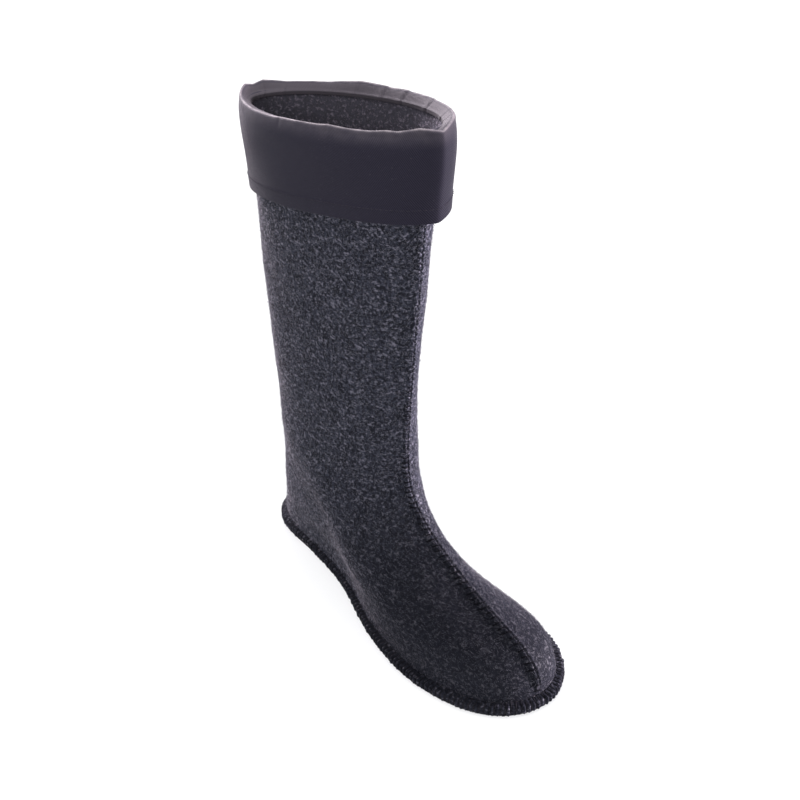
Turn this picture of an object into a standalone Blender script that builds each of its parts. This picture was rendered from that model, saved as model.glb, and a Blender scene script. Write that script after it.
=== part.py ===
# Felt inner boot for the right foot: two felt side panels sewn together along the shin and the heel,
# a flat felt sole sewn to them round its edge, and a woven cuff turned down over the top.
# The toe points to -Y, the wearer's left is +X, and the boot stands on Z = 0.

import bmesh
import bpy
import numpy as np

MM = 0.001

# Driving sizes, in millimetres
SOLE_LENGTH = 280.0
FELT = 3.0  # thickness of the felt in the sole and the upper
GAP = 0.3  # clearance between pieces that are sewn together
SOLE_EDGE_ROUND = 0.7
SEAM_HALF_WIDTH = 3.0  # half width of the raised seam down the shin and the heel
SEAM_HEIGHT = 2.4  # how far that seam stands out of the felt

CUFF_CLOTH = 1.6  # the cuff is two layers of cloth
CUFF_INSIDE = 4.5  # depth of the cuff's band inside the collar
CUFF_ROLL = 2.4  # rise of the soft fold above the felt's top edge
CUFF_INNER_LIFT = 3.0  # how much higher the fold stands over the inner flank
CUFF_CORNER = 4.0  # the fold is drawn out to a point at the cuff's back seam
CUFF_CORNER_WIDTH, CUFF_CORNER_DEPTH = 0.2, 22.0  # where the point dies out, in radians and down the cuff
CUFF_FLARE_SHIN, CUFF_FLARE_SIDE, CUFF_FLARE_HEEL = 8.0, 2.0, 1.5  # stand-off at the hem
HEM_DEPTH, HEM_STEP = 10.0, 0.4  # the hem's height, and how far its doubled edge stands out

TAB_LENGTH, TAB_HEIGHT, TAB_THICKNESS = 12.0, 26.0, 0.9  # plain folded tab in the cuff's back seam
TAB_DROP = 19.0  # from the rim to the tab's upper edge
LABEL_LENGTH, LABEL_HEIGHT, LABEL_THICKNESS = 34.0, 15.0, 0.6  # plain label in the heel seam
LABEL_UP = 92.0  # height of the label's middle above the floor
LABEL_LIFT = 7.0  # how far the label's free end stands off the felt

# Shares and spacings of the mesh
SHIN, HEEL = 0.0, 1.0  # a ring of the upper runs from the shin seam to the heel seam
INSTEP_END, HEEL_START = 0.25, 0.6  # shares of a ring between which the inner flank fills out
RIDGE_ROUND = 0.12  # rounding of the ridge that a peaked ring has at the shin seam
SEAM_FADE_START, SEAM_FADE_END = 0.5, 1.6  # shares of the cuff's drop over which the seam rises
SEAM_STRIP = (0.0, 0.55, 1.0)  # mesh columns across half of a raised seam
ROW_SPACING = 13.0  # distance between the rings of the upper's mesh
FLANK_COLUMNS = 22  # columns of that mesh on each flank, between the two seams
SOLE_COLUMNS = 40  # points on each side of the sole's outline

# Sole outline: for a share of the length from toe to heel, the fullness of the outer (little toe)
# and inner (big toe) side. Half width = fullness times the half chord of a circle at that share.
OUTLINE_COLUMNS = ("share", "outer", "inner")
OUTLINE = (
    (0.00, 77.0, 71.0),
    (0.12, 68.0, 60.5),
    (0.28, 59.0, 48.8),
    (0.45, 47.0, 39.8),
    (0.62, 33.5, 34.0),
    (0.80, 33.5, 41.5),
    (1.00, 54.0, 58.0),
)

# Sections of the upper from the sole's edge to the collar. Each one is a flat ring through a point of
# the shin seam and a point of the heel seam, given as distance forward of the heel and height.
# half_inner is the inner flank's half width over the instep, and half_heel is the one behind it.
# foot_share goes from 1, the sole's outline, to 0, an oval. peak is the power that draws the ring to a
# ridge at the shin seam, and 1 leaves it round. The first rows are the sewn edge that lies on the sole.
SECTION_COLUMNS = (
    "front", "front_up", "back", "back_up", "half_outer", "half_inner", "half_heel", "foot_share", "peak",
)
SECTIONS = (
    (280.0, 6.3, 0.0, 6.3, 52.6, 43.6, 43.6, 1.0, 1.00),
    (277.0, 6.3, 3.0, 6.3, 49.8, 40.8, 40.8, 1.0, 1.00),
    (275.2, 7.6, 4.7, 7.6, 48.3, 39.2, 39.2, 1.0, 1.00),
    (274.4, 10.0, 5.3, 9.8, 48.0, 38.3, 38.6, 1.0, 1.00),
    (271.5, 18.0, 5.8, 14.5, 48.5, 35.5, 37.5, 1.0, 1.00),
    (260.0, 30.0, 7.5, 23.0, 48.0, 28.5, 36.0, 1.0, 1.14),
    (235.5, 38.6, 9.2, 36.0, 46.5, 22.5, 34.0, 0.9, 1.25),
    (209.5, 46.8, 10.2, 52.0, 43.5, 19.5, 32.5, 0.7, 1.30),
    (181.0, 59.0, 10.8, 69.0, 38.8, 20.3, 31.5, 0.4, 1.28),
    (157.8, 74.0, 10.8, 87.0, 35.5, 25.5, 31.0, 0.2, 1.18),
    (145.2, 91.5, 10.2, 104.0, 32.8, 32.0, 31.0, 0.0, 1.05),
    (142.0, 115.0, 8.5, 124.0, 31.0, 33.5, 31.0, 0.0, 1.00),
    (144.0, 144.0, 5.2, 147.0, 31.0, 30.5, 30.5, 0.0, 1.00),
    (149.5, 188.0, 1.0, 182.0, 30.0, 29.5, 29.5, 0.0, 1.00),
    (156.5, 237.0, -3.0, 222.0, 29.0, 32.5, 32.0, 0.0, 1.00),
    (166.5, 301.0, -4.8, 264.5, 29.5, 35.0, 34.0, 0.0, 1.00),
    (180.0, 354.0, -11.0, 321.5, 31.5, 39.0, 38.0, 0.0, 1.00),
)
SEWN_EDGE_SECTION = 2  # the seams start to rise here, above the sole's edge
WALL_SECTION = 4
HEM_SECTION = len(SECTIONS) - 2  # the felt ring that the cuff's lower edge hangs beside
RIM_SECTION = len(SECTIONS) - 1


def columns(table, names):
    return {name: np.array([row[i] for row in table]) for i, name in enumerate(names)}


def smooth_through(at, knots, values):
    """Values of a smooth curve through the knots (cubic, with the slopes of their neighbours)."""
    at = np.clip(np.asarray(at, float), knots[0], knots[-1])
    slopes = np.gradient(values, knots)
    i = np.clip(np.searchsorted(knots, at, side="right") - 1, 0, len(knots) - 2)
    step = knots[i + 1] - knots[i]
    t = (at - knots[i]) / step
    return (
        (2 * t**3 - 3 * t**2 + 1) * values[i]
        + (t**3 - 2 * t**2 + t) * step * slopes[i]
        + (3 * t**2 - 2 * t**3) * values[i + 1]
        + (t**3 - t**2) * step * slopes[i + 1]
    )


def smooth_step(low, high, x):
    t = np.clip((x - low) / (high - low), 0.0, 1.0)
    return t * t * (3 - 2 * t)


outline = columns(OUTLINE, OUTLINE_COLUMNS)
sections = columns(SECTIONS, SECTION_COLUMNS)


def section_knots():
    """Distance up the wall of each section, the mean of the way up the two seams."""
    front = np.hypot(np.diff(sections["front"]), np.diff(sections["front_up"]))
    back = np.hypot(np.diff(sections["back"]), np.diff(sections["back_up"]))
    return np.concatenate([[0.0], np.cumsum((front + back) / 2)])


KNOTS = section_knots()
RIM = KNOTS[RIM_SECTION]
CUFF_DROP = RIM - KNOTS[HEM_SECTION]


def fullness(side, share):
    """Outline fullness of one side, scaled so that the widest half width is 1."""
    fine = np.linspace(0.0, 1.0, 401)
    widest = np.max(2 * np.sqrt(fine * (1 - fine)) * smooth_through(fine, outline["share"], outline[side]))
    return smooth_through(share, outline["share"], outline[side]) / widest


def ring_size(way, name):
    return smooth_through(way, KNOTS, sections[name])


def half_width(way, side, share):
    """Half width of a ring on one side, before it is rounded off towards the seams."""
    foot = ring_size(way, "foot_share")
    half = ring_size(way, "half_" + side)
    if side == "inner":
        half = half + (ring_size(way, "half_heel") - half) * smooth_step(INSTEP_END, HEEL_START, share)
    return half * (foot * fullness(side, share) + 1 - foot)


def felt_face(way, angle):
    """Outer face of the felt in millimetres. way runs up the wall from the sole's edge, and angle runs
    round it from the shin seam (0) by the outer flank to the heel seam (pi) and back by the inner one."""
    way, angle = np.broadcast_arrays(np.asarray(way, float), np.asarray(angle, float))
    share = (1 - np.cos(angle)) / 2
    turn = np.sin(angle)
    half = np.where(turn >= 0, half_width(way, "outer", share), half_width(way, "inner", share))
    ridge = ((turn**2 + RIDGE_ROUND**2) / (1 + RIDGE_ROUND**2)) ** ((ring_size(way, "peak") - 1) / 2)
    x = -turn * half * np.where(np.cos(angle) > 0, ridge, 1.0)
    forward = ring_size(way, "front") * (1 - share) + ring_size(way, "back") * share
    up = ring_size(way, "front_up") * (1 - share) + ring_size(way, "back_up") * share
    return np.stack([x, SOLE_LENGTH / 2 - forward, up], axis=-1)


def felt_point(way, angle, out=0.0, above=0.0):
    """A point that stands out of the felt's outer face, and above it along the wall."""
    way, angle, out, above = np.broadcast_arrays(way, angle, out, above)
    step, turn = 0.5, 0.01
    low = np.clip(way - step, 0.0, RIM - 2 * step)
    up_wall = felt_face(low + 2 * step, angle) - felt_face(low, angle)
    along = felt_face(way, angle + turn) - felt_face(way, angle - turn)
    normal = np.cross(up_wall, along)
    normal /= np.linalg.norm(normal, axis=-1, keepdims=True)
    up_wall /= np.linalg.norm(up_wall, axis=-1, keepdims=True)
    return felt_face(way, angle) + normal * out[..., None] + up_wall * above[..., None]


def seam_edge(way, side, share):
    """Angle between a seam and the edge of its raised strip, on one side."""
    reach = SEAM_HALF_WIDTH / half_width(way, side, share)
    return reach ** (1 / ring_size(way, "peak")) if share == SHIN else reach


def column_angles(way):
    """Angles of the mesh columns of one ring: close together on the raised seams, even between them."""
    strip = np.array(SEAM_STRIP)
    flank = np.linspace(0.0, 1.0, FLANK_COLUMNS)[1:-1]
    sides = []
    for side in ("outer", "inner"):
        shin = seam_edge(way, side, SHIN)
        heel = seam_edge(way, side, HEEL)
        between = shin + flank * (np.pi - shin - heel)
        sides.append(np.concatenate([strip * shin, between, np.pi - strip[::-1] * heel]))
    return np.concatenate([sides[0], 2 * np.pi - sides[1][-2:0:-1]])


def seam_rise(way, angle):
    """Height of the sewn ridge at the shin and the heel. It dies out at the sole and under the cuff."""
    away = np.abs(felt_face(way, angle)[..., 0]) / SEAM_HALF_WIDTH
    bead = np.sqrt(np.clip(1 - away**2, 0.0, 1.0))
    over_sole = smooth_step(KNOTS[SEWN_EDGE_SECTION], KNOTS[WALL_SECTION], way)
    under_cuff = smooth_step(SEAM_FADE_START, SEAM_FADE_END, (RIM - way) / CUFF_DROP)
    return SEAM_HEIGHT * bead * over_sole * under_cuff


def cuff_flare(angle, drop):
    """Stand-off of the turned-down cuff: none at the rim, and at the hem most by the shin."""
    ahead = np.clip(np.cos(angle), 0.0, 1.0) ** 2
    behind = np.clip(-np.cos(angle), 0.0, 1.0) ** 2
    ends = ahead * (CUFF_FLARE_SHIN - CUFF_FLARE_SIDE) + behind * (CUFF_FLARE_HEEL - CUFF_FLARE_SIDE)
    return (CUFF_FLARE_SIDE + ends) * drop / CUFF_DROP


def cuff_corner(angle, drop):
    """How far the cuff is drawn out to a point at its back seam, most at the rim."""
    return CUFF_CORNER * np.exp(-np.abs(angle - np.pi) / CUFF_CORNER_WIDTH - drop / CUFF_CORNER_DEPTH)


def inner_lift(angle):
    """Extra height of the fold over the inner flank."""
    return CUFF_INNER_LIFT * np.clip(-np.sin(angle), 0.0, 1.0)


def cuff_profile():
    """Skin of the cuff as rows of (drop below the rim, rise above it, distance out of the felt, flared,
    lifted, cornered), the last three as the share of the flare, the inner lift and the back corner that
    the row takes: from the band inside the collar over the fold to the hem, and back facing the felt."""
    outer, inner = GAP + CUFF_CLOTH, -(FELT + GAP + CUFF_CLOTH)
    band, roll, crest = 0.4 * CUFF_INSIDE, 0.5 * CUFF_ROLL, GAP + CUFF_ROLL
    flap = [share * CUFF_DROP for share in (0.08, 0.35, 0.65)]
    hem = CUFF_DROP - HEM_DEPTH
    inside = [(drop, 0.0, inner, 0, 0, 0) for drop in (CUFF_INSIDE, band)]
    fold = [(0.0, roll, inner + GAP, 0, 0.5, 0), (0.0, crest, -FELT, 0, 1, 0)]
    fold += [(0.0, crest, 0.0, 0, 1, 0.8), (0.0, roll, outer, 0, 0.5, 1)]
    outside = [(drop, 0.0, outer, 1, 0, 1) for drop in (*flap, hem)]
    edge = [(drop, 0.0, outer + HEM_STEP, 1, 0, 1) for drop in (hem + HEM_STEP, CUFF_DROP)]
    facing = [(drop, 0.0, GAP, 1, 0, 0) for drop in (CUFF_DROP, *flap[::-1])]
    facing += [(0.0, GAP, out, 0, 0, 0) for out in (GAP, -FELT - GAP)]
    facing += [(drop, 0.0, -FELT - GAP, 0, 0, 0) for drop in (band, CUFF_INSIDE)]
    return inside + fold + outside + edge + facing


def material(name, colour, roughness):
    made = bpy.data.materials.new(name)
    made.use_nodes = True
    shader = made.node_tree.nodes["Principled BSDF"]
    shader.inputs["Base Color"].default_value = (*colour, 1.0)
    shader.inputs["Roughness"].default_value = roughness
    shader.inputs["Metallic"].default_value = 0.0
    return made


def add_object(name, mesh_data, finish):
    mesh = bpy.data.meshes.new(name)
    mesh_data.to_mesh(mesh)
    mesh_data.free()
    mesh.shade_smooth()
    mesh.set_sharp_from_angle(angle=0.7)
    mesh.materials.append(finish)
    made = bpy.data.objects.new(name, mesh)
    bpy.context.scene.collection.objects.link(made)
    return made


def ring_solid(name, rings, finish):
    """A closed solid from rings of points, each joined to the next and the last to the first."""
    shape = bmesh.new()
    verts = [[shape.verts.new(point * MM) for point in ring] for ring in rings]
    count = len(rings[0])
    for i, ring in enumerate(verts):
        after = verts[(i + 1) % len(verts)]
        for j in range(count):
            k = (j + 1) % count
            shape.faces.new((ring[j], ring[k], after[k], after[j]))
    bmesh.ops.recalc_face_normals(shape, faces=shape.faces)
    return add_object(name, shape, finish)


def ribbon(name, points, thickness, finish):
    """A thin strip: a grid of points with its thickness added on both sides."""
    shape = bmesh.new()
    verts = [[shape.verts.new(point * MM) for point in row] for row in points]
    for low, high in zip(verts, verts[1:]):
        for j in range(len(low) - 1):
            shape.faces.new((low[j], low[j + 1], high[j + 1], high[j]))
    made = add_object(name, shape, finish)
    wall = made.modifiers.new("cloth", "SOLIDIFY")
    wall.thickness = thickness * MM
    wall.offset = 0.0
    return made


def make_sole(felt):
    """Flat felt sole: its outline extruded by the felt's thickness, with softened edges."""
    angle = np.arange(2 * SOLE_COLUMNS) * np.pi / SOLE_COLUMNS
    shape = bmesh.new()
    edge = [shape.verts.new((x * MM, y * MM, 0.0)) for x, y, _ in felt_face(0.0, angle)]
    raised = bmesh.ops.extrude_face_region(shape, geom=[shape.faces.new(edge)])["geom"]
    top = [part for part in raised if isinstance(part, bmesh.types.BMVert)]
    bmesh.ops.translate(shape, verts=top, vec=(0.0, 0.0, FELT * MM))
    bmesh.ops.recalc_face_normals(shape, faces=shape.faces)
    made = add_object("sole", shape, felt)
    soften = made.modifiers.new("soft edge", "BEVEL")
    soften.width = SOLE_EDGE_ROUND * MM
    soften.segments = 2
    soften.limit_method = "ANGLE"
    return made


def wall_ways():
    """Places of the upper's rings up the wall, close to even and through every section."""
    ways = [np.array([0.0])]
    for low, high in zip(KNOTS, KNOTS[1:]):
        count = max(1, round((high - low) / ROW_SPACING))
        ways.append(np.linspace(low, high, count + 1)[1:])
    return np.concatenate(ways)


def make_upper(felt):
    """Hollow felt upper: the outer face with its raised seams, then the inner face, one wall apart."""
    outside = []
    inside = []
    for way in wall_ways():
        angle = column_angles(way)
        outside.append(felt_point(way, angle, seam_rise(way, angle)))
        inside.append(felt_point(way, angle, -FELT))
    return ring_solid("upper", outside + inside[::-1], felt)


def make_cuff(cloth):
    """Turned-down cuff: its skin is carried round the collar, wider towards the hem."""
    rings = []
    for drop, rise, out, flared, lifted, cornered in cuff_profile():
        angle = column_angles(RIM - drop)
        stand_off = out + flared * cuff_flare(angle, drop) + cornered * cuff_corner(angle, drop)
        rings.append(felt_point(RIM - drop, angle, stand_off, rise + lifted * inner_lift(angle)))
    return ring_solid("cuff", rings, cloth)


def make_tab(cloth):
    """Plain tab sewn into the cuff's back seam, lying on its inner-flank side."""
    drop = np.linspace(TAB_DROP, TAB_DROP + TAB_HEIGHT, 4)[:, None]
    angle = np.pi + np.linspace(0.0, 1.0, 5)[None, :] * TAB_LENGTH / sections["half_heel"][HEM_SECTION]
    cuff_face = GAP + CUFF_CLOTH + cuff_flare(angle, drop) + cuff_corner(angle, drop)
    out = cuff_face + GAP + TAB_THICKNESS / 2
    return ribbon("cuff_tab", felt_point(RIM - drop, angle, out), TAB_THICKNESS, cloth)


def make_label(cloth):
    """Plain label sewn into the heel seam. Its free end stands off the inner flank."""
    middle = np.interp(LABEL_UP, sections["back_up"], KNOTS)
    way = middle + np.linspace(-0.5, 0.5, 3)[:, None] * LABEL_HEIGHT
    along = np.linspace(0.0, 1.0, 7)[None, :]
    angle = np.pi + along * LABEL_LENGTH / sections["half_heel"][HEM_SECTION]
    out = SEAM_HEIGHT + GAP + LABEL_THICKNESS / 2 + LABEL_LIFT * along**2
    return ribbon("care_label", felt_point(way, angle, out), LABEL_THICKNESS, cloth)


def main():
    for old in list(bpy.data.objects):
        bpy.data.objects.remove(old)
    felt = material("grey felt", (0.055, 0.055, 0.065), 0.95)
    cuff_cloth = material("black twill", (0.022, 0.020, 0.025), 0.8)
    tab_cloth = material("red ribbon", (0.55, 0.02, 0.03), 0.7)
    label_cloth = material("white ribbon", (0.75, 0.75, 0.77), 0.7)
    make_sole(felt)
    make_upper(felt)
    make_cuff(cuff_cloth)
    make_tab(tab_cloth)
    make_label(label_cloth)


main()
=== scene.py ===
import bpy
import numpy as np
from mathutils import Matrix


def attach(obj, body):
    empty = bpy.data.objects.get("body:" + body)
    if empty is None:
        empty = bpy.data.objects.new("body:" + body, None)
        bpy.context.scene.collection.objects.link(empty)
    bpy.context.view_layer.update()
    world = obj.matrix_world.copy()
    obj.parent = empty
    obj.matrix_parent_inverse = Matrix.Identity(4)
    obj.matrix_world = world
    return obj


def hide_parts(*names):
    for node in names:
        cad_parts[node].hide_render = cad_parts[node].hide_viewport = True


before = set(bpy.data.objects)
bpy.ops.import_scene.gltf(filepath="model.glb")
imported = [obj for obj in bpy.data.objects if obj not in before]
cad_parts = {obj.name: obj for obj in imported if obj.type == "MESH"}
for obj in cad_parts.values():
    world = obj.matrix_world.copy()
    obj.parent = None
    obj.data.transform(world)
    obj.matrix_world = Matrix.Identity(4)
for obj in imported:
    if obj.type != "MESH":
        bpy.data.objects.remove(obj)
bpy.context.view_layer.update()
mm = 0.001
# what the lights shine on: the felts and the cuff, which are the pieces, then the ribbons and the floor
groupNames = ("pieces", "felts", "cuffs", "ribbons", "stage")
pieces, felts, cuffs, ribbons, stage = (bpy.data.collections.new(name) for name in groupNames)
for group in (felts, cuffs):
    pieces.children.link(group)
for group in (pieces, ribbons, stage):
    bpy.context.scene.collection.children.link(group)
shin, heel = 0.0, 1.0  # a ring of the upper runs from the shin seam to the heel seam

boot = {
    "soleLength": 280.0,
    "felt": 3.0,  # thickness of the felt
    "gap": 0.3,
    "ridgeRound": 0.12,
    "instepEnd": 0.25,  # the inner flank fills out between these shares of a ring
    "heelStart": 0.6,
    # share of the length from the toe, fullness of the little toe side and of the big toe side
    "outline": np.array([
        (0.00, 77.0, 71.0),
        (0.12, 68.0, 60.5),
        (0.28, 59.0, 48.8),
        (0.45, 47.0, 39.8),
        (0.62, 33.5, 34.0),
        (0.80, 33.5, 41.5),
        (1.00, 54.0, 58.0),
    ]),
    # shin seam forward and up, heel seam forward and up, half widths outer, inner and inner heel,
    # share of the sole's outline, and the power that draws the ring to a ridge at the shin
    "sections": np.array([
        (280.0, 6.3, 0.0, 6.3, 52.6, 43.6, 43.6, 1.0, 1.00),
        (277.0, 6.3, 3.0, 6.3, 49.8, 40.8, 40.8, 1.0, 1.00),
        (275.2, 7.6, 4.7, 7.6, 48.3, 39.2, 39.2, 1.0, 1.00),
        (274.4, 10.0, 5.3, 9.8, 48.0, 38.3, 38.6, 1.0, 1.00),
        (271.5, 18.0, 5.8, 14.5, 48.5, 35.5, 37.5, 1.0, 1.00),
        (260.0, 30.0, 7.5, 23.0, 48.0, 28.5, 36.0, 1.0, 1.14),
        (235.5, 38.6, 9.2, 36.0, 46.5, 22.5, 34.0, 0.9, 1.25),
        (209.5, 46.8, 10.2, 52.0, 43.5, 19.5, 32.5, 0.7, 1.30),
        (181.0, 59.0, 10.8, 69.0, 38.8, 20.3, 31.5, 0.4, 1.28),
        (157.8, 74.0, 10.8, 87.0, 35.5, 25.5, 31.0, 0.2, 1.18),
        (145.2, 91.5, 10.2, 104.0, 32.8, 32.0, 31.0, 0.0, 1.05),
        (142.0, 115.0, 8.5, 124.0, 31.0, 33.5, 31.0, 0.0, 1.00),
        (144.0, 144.0, 5.2, 147.0, 31.0, 30.5, 30.5, 0.0, 1.00),
        (149.5, 188.0, 1.0, 182.0, 30.0, 29.5, 29.5, 0.0, 1.00),
        (156.5, 237.0, -3.0, 222.0, 29.0, 32.5, 32.0, 0.0, 1.00),
        (166.5, 301.0, -4.8, 264.5, 29.5, 35.0, 34.0, 0.0, 1.00),
        (180.0, 354.0, -11.0, 321.5, 31.5, 39.0, 38.0, 0.0, 1.00),
    ]),
}
sectionNames = ("front", "frontUp", "back", "backUp", "outer", "inner", "innerHeel", "footShare", "peak")
section = dict(zip(sectionNames, boot["sections"].T))
frontSteps = np.hypot(np.diff(section["front"]), np.diff(section["frontUp"]))
backSteps = np.hypot(np.diff(section["back"]), np.diff(section["backUp"]))
wallKnots = np.concatenate([[0.0], np.cumsum((frontSteps + backSteps) / 2)])
rim = wallKnots[-1]
cuffDrop = rim - wallKnots[-2]


def smoothThrough(at, knots, values):
    # cubic through the knots, with the slopes of their neighbours
    at = np.clip(np.asarray(at, float), knots[0], knots[-1])
    slopes = np.gradient(values, knots)
    i = np.clip(np.searchsorted(knots, at, side="right") - 1, 0, len(knots) - 2)
    step = knots[i + 1] - knots[i]
    t = (at - knots[i]) / step
    ends = (2 * t**3 - 3 * t**2 + 1) * values[i] + (3 * t**2 - 2 * t**3) * values[i + 1]
    return ends + step * ((t**3 - 2 * t**2 + t) * slopes[i] + (t**3 - t**2) * slopes[i + 1])


def smoothStep(low, high, x):
    t = np.clip((x - low) / (high - low), 0.0, 1.0)
    return t * t * (3 - 2 * t)


def unit(v):
    return v / np.maximum(np.linalg.norm(v, axis=-1, keepdims=True), 1e-9)


def walked(points, axis=0):
    # length walked along lines of points, from 0 at their start
    steps = np.linalg.norm(np.diff(points, axis=axis), axis=-1)
    start = np.zeros_like(np.take(steps, [0], axis=axis))
    return np.concatenate([start, np.cumsum(steps, axis=axis)], axis=axis)


def turnedFrom(angle, place):
    # angle from a place round the boot, half a turn at most to either side
    return np.mod(angle - place + np.pi, 2 * np.pi) - np.pi


def uvGrid(u, v):
    return np.stack(np.broadcast_arrays(u[None, :], v[:, None]), axis=2)


def ringSize(way, name):
    return smoothThrough(way, wallKnots, section[name])


def fullness(side, share):
    # fullness of the outline, scaled so that its widest half width is 1
    knots, values = boot["outline"][:, 0], boot["outline"][:, 1 if side == "outer" else 2]
    fine = np.linspace(0.0, 1.0, 401)
    widest = np.max(2 * np.sqrt(fine * (1 - fine)) * smoothThrough(fine, knots, values))
    return smoothThrough(share, knots, values) / widest


def halfWidth(way, side, share):
    foot = ringSize(way, "footShare")
    half = ringSize(way, side)
    if side == "inner":
        filling = smoothStep(boot["instepEnd"], boot["heelStart"], share)
        half = half + (ringSize(way, "innerHeel") - half) * filling
    return half * (foot * fullness(side, share) + 1 - foot)


def feltFace(way, angle):
    # way goes up the wall from the sole's edge, angle round it from the shin by the outer flank;
    # x is the sine of the angle times the half width, forward and up go straight from shin to heel
    way, angle = np.broadcast_arrays(np.asarray(way, float), np.asarray(angle, float))
    share = (1 - np.cos(angle)) / 2
    turn = np.sin(angle)
    half = np.where(turn >= 0, halfWidth(way, "outer", share), halfWidth(way, "inner", share))
    round2 = boot["ridgeRound"] ** 2
    ridge = ((turn**2 + round2) / (1 + round2)) ** ((ringSize(way, "peak") - 1) / 2)
    x = -turn * half * np.where(np.cos(angle) > 0, ridge, 1.0)
    forward = ringSize(way, "front") * (1 - share) + ringSize(way, "back") * share
    up = ringSize(way, "frontUp") * (1 - share) + ringSize(way, "backUp") * share
    return np.stack([x, boot["soleLength"] / 2 - forward, up], axis=-1)


def feltFrame(way, angle):
    # point of the outer face with its outward normal, the way up the wall and the way round it
    way, angle = np.broadcast_arrays(np.asarray(way, float), np.asarray(angle, float))
    low = np.clip(way - 0.5, 0.0, rim - 1.0)
    upWall = unit(feltFace(low + 1.0, angle) - feltFace(low, angle))
    along = unit(feltFace(way, angle + 0.01) - feltFace(way, angle - 0.01))
    return feltFace(way, angle), unit(np.cross(upWall, along)), upWall, along


def feltPoint(way, angle, out=0.0, above=0.0):
    way, angle, out, above = np.broadcast_arrays(way, angle, out, above)
    point, normal, upWall, _ = feltFrame(way, angle)
    return point + normal * out[..., None] + upWall * above[..., None]


def seamAngle(way, offset, share):
    # angle whose point lies that many millimetres to the side of a seam, plus to the outer flank
    way, offset = np.broadcast_arrays(np.asarray(way, float), np.asarray(offset, float))
    half = np.where(offset >= 0, halfWidth(way, "outer", share), halfWidth(way, "inner", share))
    reach = np.abs(offset) / half
    if share == shin:
        return np.sign(offset) * reach ** (1 / ringSize(way, "peak"))
    return np.pi - np.sign(offset) * reach


def ringAngles(way, seamHalf, strip, flank):
    # angles of the mesh columns of every ring: close together on the seams, even between them
    sides = []
    for sign in (1, -1):
        first = np.abs(seamAngle(way, sign * seamHalf, shin))[:, None]
        last = np.abs(np.pi - seamAngle(way, sign * seamHalf, heel))[:, None]
        between = first + np.linspace(0.0, 1.0, flank)[1:-1] * (np.pi - first - last)
        sides.append(np.concatenate([strip * first, between, np.pi - strip[::-1] * last], axis=1))
    return np.concatenate([sides[0], 2 * np.pi - sides[1][:, -2:0:-1]], axis=1)


def ripples(a, b, seed, count, lengths, turns):
    # sum of waves in both parameters with random phases, about -1 to 1
    rng = np.random.default_rng(seed)
    total = 0.0
    for _ in range(count):
        first, second = rng.uniform(0, 2 * np.pi, 2)
        wave = 2 * np.pi / rng.uniform(*lengths)
        total = total + np.sin(a * wave + first) * np.cos(b * rng.integers(*turns) + second)
    return total / np.sqrt(count)


def meshFrom(name, points, faces, finish, uv=None, slot=None, replaced=(), group=felts):
    # faces holds one array of corners for each kind of polygon, and uv their places on the cloth
    loops = np.concatenate([kind.ravel() for kind in faces])
    used, loops = np.unique(loops, return_inverse=True)
    sizes = np.concatenate([np.full(len(kind), kind.shape[1]) for kind in faces])
    mesh = bpy.data.meshes.new(name)
    mesh.vertices.add(len(used))
    mesh.vertices.foreach_set("co", (points[used] * mm).astype(np.float32).ravel())
    mesh.loops.add(len(loops))
    mesh.loops.foreach_set("vertex_index", loops.astype(np.int32))
    mesh.polygons.add(len(sizes))
    mesh.polygons.foreach_set("loop_start", (np.cumsum(sizes) - sizes).astype(np.int32))
    mesh.update(calc_edges=True)
    if uv is not None:
        layer = mesh.uv_layers.new(name="UVMap")
        layer.data.foreach_set("uv", np.concatenate([kind.ravel() for kind in uv]).astype(np.float32))
    mesh.shade_smooth()
    mesh.materials.append(finish)
    made = bpy.data.objects.new(name, mesh)
    group.objects.link(made)
    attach(made, "root")
    if replaced:
        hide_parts(*replaced)
    print(name, "triangles", np.sum(sizes - 2))
    return made


def corners(grid, flip=False):
    # the four corners of every cell of a grid, as rows of four
    a, b, c, d = grid[:-1, :-1], grid[1:, :-1], grid[1:, 1:], grid[:-1, 1:]
    cells = np.stack([a, d, c, b] if flip else [a, b, c, d], axis=2)
    return cells.reshape(-1, 4, *cells.shape[3:])


def gridMesh(name, points, finish, wrapRows=False, poles=False, pinch=None, uv=None, flip=False, **facts):
    # rows of points closed into rings and joined to the next row;
    # uv has one more column, and one more row where the rows wrap
    rows, columns = points.shape[:2]
    index = np.arange(rows * columns).reshape(rows, columns)
    if pinch is not None:  # the first and last rows are folded flat, column k on column pinch - k
        ends = index[[0, -1]]
        index[[0, -1]] = np.minimum(ends, ends[:, np.mod(pinch - np.arange(columns), columns)])
    if wrapRows:
        index = np.vstack([index, index[:1]])
    index = np.hstack([index, index[:, :1]])
    faces = [corners(index, flip)]
    points = points.reshape(-1, 3)
    if poles:  # a fan from the middle of the first row, and of the last
        for row, turned in ((index[0], flip), (index[-1], not flip)):
            pole = np.full(columns, len(points))
            points = np.vstack([points, points[row[:-1]].mean(axis=0)])
            pair = (row[1:], row[:-1]) if turned else (row[:-1], row[1:])
            faces.append(np.stack([pole, *pair], axis=1))
    return meshFrom(name, points, faces, finish, None if uv is None else [corners(uv, flip)], **facts)


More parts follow.
